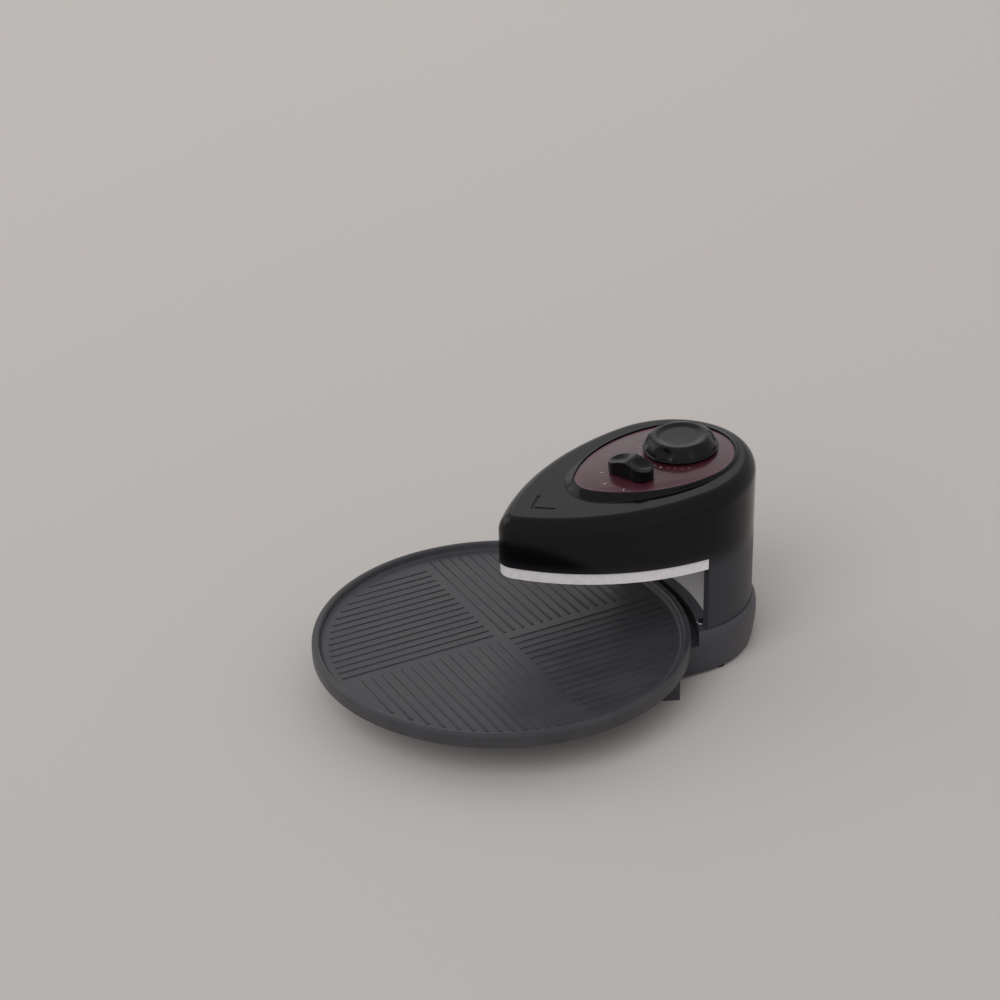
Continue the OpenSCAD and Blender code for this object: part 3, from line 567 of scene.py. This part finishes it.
def round_off(mesh, geometry, width, segments, affect="EDGES"):
    """Rounded edges, or the rounded corners of a line."""
    bmesh.ops.bevel(
        mesh, geom=geometry, offset=width, offset_type="OFFSET", segments=segments, profile=0.5,
        affect=affect, clamp_overlap=True, material=-1,
    )


def half_section(mesh, points, corners, width, segments):
    """A line through (radius, height) points, with some of its corners rounded."""
    section = [mesh.verts.new((radius, 0, height)) for radius, height in points]
    for pair in zip(section, section[1:]):
        mesh.edges.new(pair)
    round_off(mesh, section[corners], width, segments, "VERTICES")


def lathe(mesh, steps, seam):
    """The section spun once round z, points closer than the seam joined."""
    bmesh.ops.spin(
        mesh, geom=mesh.verts[:] + mesh.edges[:], cent=(0, 0, 0), axis=(0, 0, 1),
        angle=2 * math.pi, steps=steps, use_merge=True,
    )
    bmesh.ops.remove_doubles(mesh, verts=mesh.verts, dist=seam)


# ---- Heater head -----------------------------------------------------------

HEAD_BOTTOM = 118
SHOULDER_W = 12.5
SHOULDER_H = 15
SHOULDER_STEPS = 18
HEAD_SKIN = 1.1
HEAD_ROUND = 0.35
HEAD_CREASE_DEGREES = 50
# The column's wall stands on the deck. Its front edges fold inwards through these points,
# each given as a distance from the middle and a y.
DECK = 46
COLUMN_Y = 165
COLUMN_FOLD = ((81.9, COLUMN_Y + 0.15), (80.9, COLUMN_Y), (74, COLUMN_Y))
# An edge that climbs more than this belongs to the column's front edges
UPRIGHT = 50
# The bezel's rings outside the panel's plan: its rim, its lip and the recess in it
RIM_OUT = 2.6
LIP_OUT = 1.2
LIP_H = 0.6
RECESS_OUT = 0.4
PLATE_RECESS = 1
# Width and segments of the rounding at the bezel's foot, rim and lip
BEZEL_ROUNDS = ((2.2, 5), (0.8, 4), (0.45, 4))
# The pressed mark behind the nose, two arms at right angles
CHEVRON_TIP_Y = 33
CHEVRON_DEPTH = 0.9
CHEVRON_ARM = 22
CHEVRON_W = 3
# Place in the head's material list for the matt faces that the mark's cut leaves
UNPOLISHED = 1


def head_wall_and_shoulder(mesh):
    """A quarter turn stretched to the shoulder's size, with the wall under it.

    The wall's foot waits far below until the shoulder has been set on the sloping top.
    """
    outermost = mesh.verts.new((0, 1, 0))
    bmesh.ops.spin(
        mesh, geom=[outermost], cent=(0, 0, 0), axis=(1, 0, 0), angle=math.pi / 2,
        steps=SHOULDER_STEPS,
    )
    bmesh.ops.scale(mesh, vec=(1, SHOULDER_W, SHOULDER_H), verts=mesh.verts)
    stern_tip = HEAD_PLAN[2] + HEAD_PLAN[3]
    bmesh.ops.translate(mesh, vec=(0, stern_tip - SHOULDER_W, -SHOULDER_H), verts=mesh.verts)
    far_below = -2 * HEAD_TOP
    foot = bmesh.ops.extrude_vert_indiv(mesh, verts=[outermost])["verts"][0]
    foot.co.z = far_below
    spin_round(mesh, HEAD_PLAN, mesh.verts[:] + mesh.edges[:])
    for vertex in mesh.verts:
        at_foot = vertex.co.z < far_below / 2
        vertex.co.z = HEAD_BOTTOM if at_foot else vertex.co.z + top_z(vertex.co.y)


def rim_edges(mesh, low, high):
    """Open edges whose two ends lie between two heights."""
    return [
        edge for edge in mesh.edges
        if edge.is_boundary and all(low < v.co.z < high for v in edge.verts)
    ]


def extrude(mesh, edges):
    """New points and new edges that a row of edges grows into."""
    grown = bmesh.ops.extrude_edge_only(mesh, edges=edges)["geom"]
    points = [item for item in grown if isinstance(item, bmesh.types.BMVert)]
    return points, [item for item in grown if isinstance(item, bmesh.types.BMEdge)]


def stands_up(edge):
    """Whether an edge is one of the column's front edges."""
    return abs(edge.verts[0].co.z - edge.verts[1].co.z) > UPRIGHT


def column_wall(mesh):
    """The stern's wall runs down to the deck and folds inwards beside the shield."""
    rim = [
        edge for edge in rim_edges(mesh, HEAD_BOTTOM - 1, HEAD_BOTTOM + 1)
        if all(v.co.y > COLUMN_Y for v in edge.verts)
    ]
    for vertex in extrude(mesh, rim)[0]:
        vertex.co.z = DECK
    uprights = [edge for edge in mesh.edges if edge.is_boundary and stands_up(edge)]
    for x, y in COLUMN_FOLD:
        points, edges = extrude(mesh, uprights)
        for vertex in points:
            vertex.co.x = math.copysign(x, vertex.co.x)
            vertex.co.y = y
        uprights = [edge for edge in edges if stands_up(edge)]


def chevron_cutter():
    """The two arms of the mark, as a solid to cut out of the top."""
    mesh = bmesh.new()
    eighth = Matrix.Rotation(math.pi / 4, 3, "Z")
    for side in (-1, 1):
        arm = bmesh.ops.create_cube(mesh, size=1)["verts"]
        bmesh.ops.scale(mesh, vec=(CHEVRON_ARM, CHEVRON_W, 2 * CHEVRON_DEPTH), verts=arm)
        bmesh.ops.translate(mesh, vec=((CHEVRON_ARM - CHEVRON_W) / 2, 0, 0), verts=arm)
        bmesh.ops.rotate(mesh, cent=(0, 0, 0), matrix=eighth, verts=arm)
        bmesh.ops.scale(mesh, vec=(side, 1, 1), verts=arm)
    for face in mesh.faces:
        face.material_index = UNPOLISHED
    bmesh.ops.recalc_face_normals(mesh, faces=mesh.faces)
    lean = Matrix.Rotation(math.atan(TOP_SLOPE), 4, "X")
    place = Matrix.Translation(Vector((0, CHEVRON_TIP_Y, top_z(CHEVRON_TIP_Y))))
    bmesh.ops.transform(mesh, matrix=place @ lean, verts=mesh.verts)
    to_place(mesh)
    data = bpy.data.meshes.new("chevron_cutter")
    mesh.to_mesh(data)
    mesh.free()
    return bpy.data.objects.new("chevron_cutter", data)


def press_chevron(piece):
    """The mark is cut while the script runs, and the cutter goes."""
    cutter = chevron_cutter()
    bpy.context.scene.collection.objects.link(cutter)
    cut = piece.modifiers.new("chevron", "BOOLEAN")
    cut.operation = "DIFFERENCE"
    cut.solver = "EXACT"
    cut.use_self = True
    cut.object = cutter
    bpy.context.view_layer.update()
    seen = piece.evaluated_get(bpy.context.evaluated_depsgraph_get())
    data = bpy.data.meshes.new_from_object(seen)
    data.name = piece.name
    piece.modifiers.clear()
    piece.data = data
    bpy.data.objects.remove(cutter)


def head():
    """The head and column as one skin: shoulder, sloping top, bezel, recess and wall."""
    mesh = bmesh.new()
    head_wall_and_shoulder(mesh)
    top_rim = rim_edges(mesh, HEAD_BOTTOM + 1, 2 * HEAD_TOP)
    rows = skin(mesh, top_rim, [
        (BEZEL_PLAN, 0, top_z),
        (PANEL_PLAN, RIM_OUT, panel_z),
        (PANEL_PLAN, LIP_OUT, lambda y: panel_z(y) + LIP_H),
        (PANEL_PLAN, RECESS_OUT, lambda y: panel_z(y) - PLATE_RECESS),
    ])
    bmesh.ops.contextual_create(mesh, geom=rows[-1])
    for edges, (width, segments) in zip(rows, BEZEL_ROUNDS):
        round_off(mesh, edges, width, segments)
    column_wall(mesh)
    to_place(mesh)
    piece = piece_from(
        mesh, "upper_housing_finished", "housing_black", "base", ("upper_housing",),
        HEAD_CREASE_DEGREES,
    )
    piece.data.materials.append(FINISH["cover_plastic"])
    add_wall(piece, HEAD_SKIN)
    press_chevron(piece)
    soften(piece, HEAD_ROUND, HEAD_CREASE_DEGREES, 3)


# ---- Control plate ---------------------------------------------------------

PLATE_THICKNESS = 0.35
PLATE_OUT = 0.15
PLATE_ROUND = 0.3
# The plate's face against the panel's plane
PLATE_FACE = PLATE_THICKNESS - PLATE_RECESS
# Printing stands this far above the face, and as far below it
INK = 0.06
# The border line's two edges inside the panel's plan
BORDER_OUT = -1.6
BORDER_IN = -2.3


def plate():
    """The control plate on the floor of the bezel's recess."""
    mesh = bmesh.new()
    rows = skin(mesh, None, [
        (PANEL_PLAN, PLATE_OUT, lambda y: panel_z(y) - PLATE_RECESS),
        (PANEL_PLAN, PLATE_OUT, lambda y: panel_z(y) + PLATE_FACE),
    ])
    for edges in rows:
        bmesh.ops.contextual_create(mesh, geom=edges)
    round_off(mesh, rows[-1], PLATE_ROUND, 3)
    to_place(mesh)
    piece_from(mesh, "control_plate_finished", "panel_maroon", "base", ("control_plate",))


def border_line():
    """A paler printed line just inside the plate's edge."""
    mesh = bmesh.new()
    low, high = PLATE_FACE - INK, PLATE_FACE + INK
    skin(mesh, None, [
        (PANEL_PLAN, BORDER_OUT, lambda y: panel_z(y) + low),
        (PANEL_PLAN, BORDER_OUT, lambda y: panel_z(y) + high),
        (PANEL_PLAN, BORDER_IN, lambda y: panel_z(y) + high),
        (PANEL_PLAN, BORDER_IN, lambda y: panel_z(y) + low),
    ])
    to_place(mesh)
    piece_from(mesh, "border_line", "panel_maroon", "base", finish=PALE_INK)


# ---- Baking pan ------------------------------------------------------------

PAN_R = 169
PAN_STEPS = 192
PAN_FLOOR = 43.5
PAN_RIM = 50
RIM_W = 7.5
SKIRT_LOW = 37
PAN_SHEET = 1
PAN_CORNER_ROUND = 0.55
PAN_EDGE_ROUND = 0.3
PAN_SEAM = 0.01
# The ribs end at this radius, and leave a cross of twice this width through the middle
RIB_REACH = 153.5
RIB_CROSS = 5
RIB_PITCH = 9.5
RIB_W = 2.4
RIB_H = 0.8
RIB_ROUND = 0.95 * RIB_H
RIB_CREASE_DEGREES = 50


def pan():
    """The dish's section, from its middle to the skirt's edge, spun about the pan's axis."""
    mesh = bmesh.new()
    rim_in = PAN_R - RIM_W
    half_section(mesh, [
        (0, PAN_FLOOR), (RIB_REACH + 3, PAN_FLOOR), (rim_in - 3, PAN_FLOOR + 0.1),
        (rim_in - 0.9, PAN_FLOOR + 1.6), (rim_in + 0.4, PAN_RIM - 2),
        (rim_in + 1.7, PAN_RIM - 0.45), (PAN_R - RIM_W / 2, PAN_RIM),
        (PAN_R - 1.7, PAN_RIM - 0.45), (PAN_R - 0.4, PAN_RIM - 1.9),
        (PAN_R, PAN_RIM - 4), (PAN_R, SKIRT_LOW),
    ], slice(2, 10), PAN_CORNER_ROUND, 3)
    lathe(mesh, PAN_STEPS, PAN_SEAM)
    to_place(mesh)
    piece = piece_from(mesh, "baking_pan_finished", "nonstick_pan", "pan", ("baking_pan",))
    add_wall(piece, PAN_SHEET)
    soften(piece, PAN_EDGE_ROUND, SPUN_CREASE_DEGREES, 3)


def pan_ribs():
    """Four quarters of parallel pressed ribs, each bar rounded over, inside a plain cross."""
    mesh = bmesh.new()
    offset = RIB_CROSS
    while offset + RIB_W < RIB_REACH - RIB_CROSS:
        far = math.sqrt(RIB_REACH ** 2 - (offset + RIB_W / 2) ** 2)
        if far - RIB_CROSS > 2 * RIB_W:
            for quarter in range(4):
                bar = bmesh.ops.create_cube(mesh, size=1)["verts"]
                length = far - RIB_CROSS
                bmesh.ops.scale(mesh, vec=(RIB_W, length, 2 * RIB_H), verts=bar)
                middle = (offset + RIB_W / 2, RIB_CROSS + length / 2, PAN_FLOOR)
                bmesh.ops.translate(mesh, vec=middle, verts=bar)
                turn = Matrix.Rotation(quarter * math.pi / 2, 3, "Z")
                bmesh.ops.rotate(mesh, cent=(0, 0, 0), matrix=turn, verts=bar)
        offset += RIB_PITCH
    tops = [edge for edge in mesh.edges if all(v.co.z > PAN_FLOOR for v in edge.verts)]
    round_off(mesh, tops, RIB_ROUND, 4)
    to_place(mesh)
    piece_from(mesh, "pan_ribs", "nonstick_pan", "pan", crease_degrees=RIB_CREASE_DEGREES)


# ---- Timer knob ------------------------------------------------------------

# The knob's foot over the panel's plane
KNOB_FOOT = 0.85
TIMER_R = 34
TIMER_H = 13
SKIRT_TOP = 3
KNOB_STEPS = 144
KNOB_SEAM = 0.005
KNOB_CORNER_ROUND = 1.0
# Section lines longer than this and outside this radius are cut up for the hollows
LONG_LINE = 0.9
PLAIN_MIDDLE = 6
# Balls that press the hollows: how many, their radius, how far out of the knob's radius
# and how far over its top they stand, and the width of the soft edge they leave
SCALLOPS = 6
SCALLOP_R = 19
SCALLOP_OUT = 10
SCALLOP_UP = 2.7
SCALLOP_BLEND = 0.9


def timer_section(mesh):
    """Half section of the timer knob: skirt, flank, raised rim and dished top."""
    r, h = TIMER_R, TIMER_H
    half_section(mesh, [
        (r - 1.2, 0), (r, 1.2), (r, 2.3), (r - 1, SKIRT_TOP), (r - 1.4, SKIRT_TOP),
        (r - 2.5, h - 6), (r - 4.5, h - 3), (r - 7, h - 0.8), (r - 9.5, h), (r - 12, h - 0.1),
        (r - 14, h - 0.8), (r - 17, h - 1.5), (0, h - 1.7),
    ], slice(5, 12), KNOB_CORNER_ROUND, 4)
    long_lines = [
        edge for edge in mesh.edges
        if edge.calc_length() > LONG_LINE and max(v.co.x for v in edge.verts) > PLAIN_MIDDLE
    ]
    bmesh.ops.subdivide_edges(mesh, edges=long_lines, cuts=4)


def scallop(mesh):
    """Broad hollows: each point is pressed down to a ball that stands out from the rim."""
    reach = Vector((TIMER_R + SCALLOP_OUT, 0, 0))
    middles = [
        Matrix.Rotation(turn * 2 * math.pi / SCALLOPS, 3, "Z") @ reach for turn in range(SCALLOPS)
    ]
    for vertex in mesh.verts:
        if vertex.co.z <= SKIRT_TOP + KNOB_SEAM:
            continue
        for middle in middles:
            away = (vertex.co.xy - middle.xy).length
            if away >= SCALLOP_R:
                continue
            ball = TIMER_H + SCALLOP_UP - math.sqrt(SCALLOP_R ** 2 - away ** 2)
            # A smooth minimum of the two heights keeps the hollow's edge soft
            mix = max(0, min(1, 0.5 + 0.5 * (ball - vertex.co.z) / SCALLOP_BLEND))
            height = ball + (vertex.co.z - ball) * mix - SCALLOP_BLEND * mix * (1 - mix)
            vertex.co.z = max(SKIRT_TOP, height)


def timer_knob():
    """The section spun round, pressed into scallops and closed at its foot."""
    mesh = bmesh.new()
    timer_section(mesh)
    lathe(mesh, KNOB_STEPS, KNOB_SEAM)
    scallop(mesh)
    foot = [edge for edge in mesh.edges if edge.is_boundary]
    bmesh.ops.contextual_create(mesh, geom=foot)
    bmesh.ops.translate(mesh, vec=(0, 0, KNOB_FOOT), verts=mesh.verts)
    to_place(mesh, TIMER)
    piece = piece_from(
        mesh, "timer_knob_finished", "knob_black", "timer_dial", ("timer_knob",),
        SPUN_CREASE_DEGREES,
    )
    even_shading(piece)


# ---- Printed marks ---------------------------------------------------------

# Where the ticks begin, from a knob's middle, and their length and width
TIMER_TICK_FROM = 36.2
TIMER_TICK = (1.6, 0.45)
TIMER_LONG_TICK = (2.8, 0.7)
SELECTOR_TICK_FROM = 25.5
SELECTOR_TICK = (3.2, 0.7)
# Where they stand, in degrees anticlockwise from the right
TIMER_ANGLES = range(-160, -10, 10)
LONG_EVERY = 5
SELECTOR_ANGLES = (-135, -90, -45)


def ticks(name, place, start, size, angles):
    """Thin printed lines that point at a knob's middle."""
    length, width = size
    mesh = bmesh.new()
    for angle in angles:
        line = bmesh.ops.create_cube(mesh, size=1)["verts"]
        bmesh.ops.scale(mesh, vec=(length, width, 2 * INK), verts=line)
        bmesh.ops.translate(mesh, vec=(start + length / 2, 0, PLATE_FACE), verts=line)
        turn = Matrix.Rotation(math.radians(angle), 3, "Z")
        bmesh.ops.rotate(mesh, cent=(0, 0, 0), matrix=turn, verts=line)
    to_place(mesh, place)
    piece_from(mesh, name, "panel_maroon", "base", finish=WHITE_INK)


def printed_marks():
    """Plain ticks round the front of each knob stand for the plate's scales."""
    ticks("timer_ticks", TIMER, TIMER_TICK_FROM, TIMER_TICK, TIMER_ANGLES)
    ticks(
        "timer_long_ticks", TIMER, TIMER_TICK_FROM, TIMER_LONG_TICK, TIMER_ANGLES[::LONG_EVERY],
    )
    ticks("selector_ticks", SELECTOR, SELECTOR_TICK_FROM, SELECTOR_TICK, SELECTOR_ANGLES)


# ---- Stage -----------------------------------------------------------------

BACKDROP = "#c3bfbb"
FLOOR_HALF = 6
WORLD_COLOUR = "#e5e3e4"
WORLD_STRENGTH = 0.68


def make_stage():
    """A plain pale matt floor."""
    material = bpy.data.materials.new("pale_floor")
    material.use_nodes = True
    material.node_tree.nodes.clear()
    matt = add(material, "ShaderNodeBsdfDiffuse", {"Color": srgb(BACKDROP)})
    add(material, "ShaderNodeOutputMaterial", {"Surface": (matt, "BSDF")})
    mesh = bmesh.new()
    bmesh.ops.create_grid(mesh, x_segments=1, y_segments=1, size=FLOOR_HALF)
    data = bpy.data.meshes.new("floor")
    mesh.to_mesh(data)
    mesh.free()
    floor = bpy.data.objects.new("floor", data)
    floor.data.materials.append(material)
    bpy.context.scene.collection.objects.link(floor)


def make_lamp(name, kind, place, **settings):
    """A lamp of one kind at a place, turned to the part."""
    data = bpy.data.lights.new(name, kind)
    for setting, value in settings.items():
        setattr(data, setting, value)
    lamp = bpy.data.objects.new(name, data)
    lamp.location = place
    lamp.rotation_mode = "QUATERNION"
    lamp.rotation_quaternion = (AIM - Vector(place)).to_track_quat("-Z", "Y")
    bpy.context.scene.collection.objects.link(lamp)
    return lamp


def make_light():
    """Even light from all round, a broad sun from the right and two large soft panels."""
    world = bpy.data.worlds.new("studio")
    world.use_nodes = True
    background = world.node_tree.nodes["Background"]
    background.inputs["Color"].default_value = srgb(WORLD_COLOUR)
    background.inputs["Strength"].default_value = WORLD_STRENGTH
    bpy.context.scene.world = world
    sun = make_lamp("sun", "SUN", (1.3, -1.9, 2.3), angle=math.radians(50), energy=1.25)
    # Gloss doesn't mirror the sun, so the shoulder keeps clear of a hard streak
    sun.visible_glossy = False
    make_lamp("left_panel", "AREA", (-2.2, -1.5, 1.7), shape="SQUARE", size=2.0, energy=9)
    make_lamp("rear_panel", "AREA", (-2.1, 1.1, 1.35), shape="SQUARE", size=1.5, energy=2.5)


# Edge rounding, in millimetres, of the CAD nodes that keep their own shape
ROUNDED = {
    "upper_reflector": 0.25, "column_shield": 0.2, "base_housing": 0.5, "base_deck": 0.8,
    "left_outrigger": 1.4, "right_outrigger": 1.4, "selector_knob": 0.6, "rubber_feet": 0.3,
}
SCREW_ROUND = 0.15

make_camera()
finish_nodes()
head()
plate()
border_line()
pan()
pan_ribs()
timer_knob()
printed_marks()
for node_name, node_round in ROUNDED.items():
    dress(node_name, node_round)
dress("deck_screws", SCREW_ROUND, finish=black_oxide())
make_stage()
make_light()
bpy.context.scene.view_settings.view_transform = "Standard"
